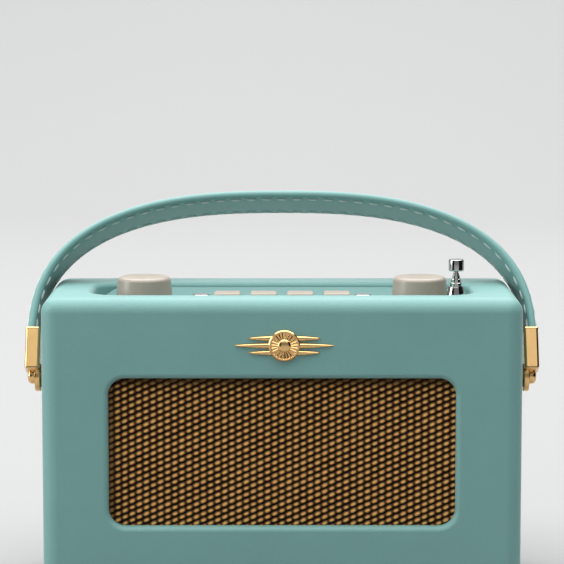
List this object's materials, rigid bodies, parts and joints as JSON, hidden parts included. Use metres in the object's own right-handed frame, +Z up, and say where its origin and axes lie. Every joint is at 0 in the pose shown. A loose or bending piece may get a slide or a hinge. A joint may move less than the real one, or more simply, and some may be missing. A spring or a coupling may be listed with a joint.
{
  "type": "portable radio",
  "caption": "Leathercloth-covered portable radio with a woven grille, recessed top controls, telescopic aerial and swinging strap handle.",
  "frame": {"origin": "middle of the cabinet's footprint, on the plane that the feet stand on", "axes": "+X to the radio's right-hand side seen from the front, +Y towards its rear panel, +Z up; the grille faces -Y"},
  "size_m": [0.278, 0.1112, 0.2104],
  "materials": {
    "cabinet_board": "raw MDF",
    "teal_leathercloth": "fine grained leathercloth",
    "strap_leather": "stitched leathercloth",
    "grille_weave": "woven gold and brown grille cloth",
    "gold_metal": "polished",
    "pivot_brass": "machined",
    "chromed_metal": "polished",
    "screw_steel": "plated",
    "ivory_plastic": "satin ivory",
    "deck_paint": "satin paint",
    "smoked_window": "clear lens",
    "black_plastic": "fine texture",
    "foot_rubber": "matte",
    "circuit_board": "solder mask",
    "magnet_iron": "plated",
    "basket_steel": "black paint",
    "paper_cone": "pressed paper",
    "spacer_nylon": "nylon",
    "cell_jacket": "printed jacket, plain",
    "contact_steel": "nickel plated"
  },
  "bodies": {
    "cabinet": {"cabinet_box": "cabinet_board", "leather_cover": "teal_leathercloth", "feet": "foot_rubber", "foot_screws": "screw_steel", "grille_cloth": "grille_weave", "speaker_baffle": "cabinet_board", "emblem": "gold_metal", "speaker_basket": "basket_steel", "speaker_magnet": "magnet_iron", "speaker_screws": "screw_steel", "control_deck": "deck_paint", "deck_screws": "screw_steel", "display_window": "smoked_window", "display_module": "black_plastic", "control_board": "circuit_board", "volume_encoder": "screw_steel", "tuning_encoder": "screw_steel", "encoder_nuts": "screw_steel", "key_switches": "black_plastic", "aerial_ferrule": "chromed_metal", "aerial_guide": "black_plastic", "rear_battens": "cabinet_board", "rear_panel": "black_plastic", "panel_screws": "screw_steel", "battery_holder": "black_plastic", "battery_cells": "cell_jacket", "battery_contacts": "contact_steel", "main_board": "circuit_board", "main_board_parts": "black_plastic", "board_screws": "screw_steel", "headphone_socket": "black_plastic", "aux_socket": "black_plastic", "dc_socket": "black_plastic", "pivot_inserts": "pivot_brass", "pivot_spacers": "spacer_nylon", "pivot_screws": "gold_metal"},
    "handle": {"handle_strap": "strap_leather", "handle_clip_left": "gold_metal", "handle_clip_right": "gold_metal", "clip_rivets": "gold_metal"},
    "volume_dial": {"volume_knob": "ivory_plastic", "volume_shaft": "screw_steel"},
    "tuning_push_rod": {"tuning_plunger": "black_plastic"},
    "tuning_dial": {"tuning_knob": "ivory_plastic", "tuning_shaft": "screw_steel"},
    "standby_cap": {"standby_button": "chromed_metal"},
    "info_cap": {"info_button": "chromed_metal"},
    "aerial_base": {"aerial_foot": "chromed_metal"},
    "aerial_stage_1": {"aerial_tube_1": "chromed_metal"},
    "aerial_stage_2": {"aerial_tube_2": "chromed_metal"},
    "aerial_stage_3": {"aerial_tube_3": "chromed_metal"},
    "aerial_stage_4": {"aerial_tube_4": "chromed_metal"},
    "aerial_stage_5": {"aerial_tip": "chromed_metal"},
    "door": {"battery_door": "black_plastic"},
    "cone": {"speaker_cone": "paper_cone", "speaker_surround": "foot_rubber"},
    "key_cap_1": {"key_1": "ivory_plastic"},
    "key_cap_2": {"key_2": "ivory_plastic"},
    "key_cap_3": {"key_3": "ivory_plastic"},
    "key_cap_4": {"key_4": "ivory_plastic"}
  },
  "joints": [
    {"name": "handle_swing", "type": "hinge", "parent": "cabinet", "child": "handle", "pos_m": [0, 0, 0.112], "axis": [1, 0, 0], "range_deg": [0, 52]},
    {"name": "volume_turn", "type": "hinge", "parent": "cabinet", "child": "volume_dial", "pos_m": [-0.074, -0.004, 0.155], "axis": [0, 0, 1], "continuous": true},
    {"name": "tuning_push", "type": "slide", "parent": "cabinet", "child": "tuning_push_rod", "axis": [0, 0, -1], "range_m": [0, 0.001], "stiffness_N_per_m": 2500},
    {"name": "tuning_turn", "type": "hinge", "parent": "tuning_push_rod", "child": "tuning_dial", "pos_m": [0.074, -0.004, 0.155], "axis": [0, 0, 1], "continuous": true},
    {"name": "aerial_raise", "type": "slide", "parent": "cabinet", "child": "aerial_base", "axis": [0, 0, 1], "range_m": [0, 0.106]},
    {"name": "aerial_swivel", "type": "hinge", "parent": "aerial_base", "child": "aerial_stage_1", "pos_m": [0.0925, -0.02, 0.155], "axis": [0, 0, 1], "continuous": true},
    {"name": "aerial_extend_1", "type": "slide", "parent": "aerial_stage_1", "child": "aerial_stage_2", "axis": [0, 0, 1], "range_m": [0, 0.116]},
    {"name": "aerial_extend_2", "type": "slide", "parent": "aerial_stage_2", "child": "aerial_stage_3", "axis": [0, 0, 1], "range_m": [0, 0.116]},
    {"name": "aerial_extend_3", "type": "slide", "parent": "aerial_stage_3", "child": "aerial_stage_4", "axis": [0, 0, 1], "range_m": [0, 0.116]},
    {"name": "aerial_extend_4", "type": "slide", "parent": "aerial_stage_4", "child": "aerial_stage_5", "axis": [0, 0, 1], "range_m": [0, 0.116]},
    {"name": "key_1_press", "type": "slide", "parent": "cabinet", "child": "key_cap_1", "axis": [0, 0, -1], "range_m": [0, 0.001], "stiffness_N_per_m": 1500},
    {"name": "key_2_press", "type": "slide", "parent": "cabinet", "child": "key_cap_2", "axis": [0, 0, -1], "range_m": [0, 0.001], "stiffness_N_per_m": 1500},
    {"name": "key_3_press", "type": "slide", "parent": "cabinet", "child": "key_cap_3", "axis": [0, 0, -1], "range_m": [0, 0.001], "stiffness_N_per_m": 1500},
    {"name": "key_4_press", "type": "slide", "parent": "cabinet", "child": "key_cap_4", "axis": [0, 0, -1], "range_m": [0, 0.001], "stiffness_N_per_m": 1500},
    {"name": "standby_press", "type": "slide", "parent": "cabinet", "child": "standby_cap", "axis": [0, 0, -1], "range_m": [0, 0.001], "stiffness_N_per_m": 1500},
    {"name": "info_press", "type": "slide", "parent": "cabinet", "child": "info_cap", "axis": [0, 0, -1], "range_m": [0, 0.001], "stiffness_N_per_m": 1500},
    {"name": "battery_door_open", "type": "hinge", "parent": "cabinet", "child": "door", "pos_m": [0, 0.0475, 0.0186], "axis": [-1, 0, 0], "range_deg": [0, 95]},
    {"name": "cone_stroke", "type": "slide", "parent": "cabinet", "child": "cone", "axis": [0, -1, 0], "range_m": [-0.001, 0.001], "stiffness_N_per_m": 1500}
  ]
}
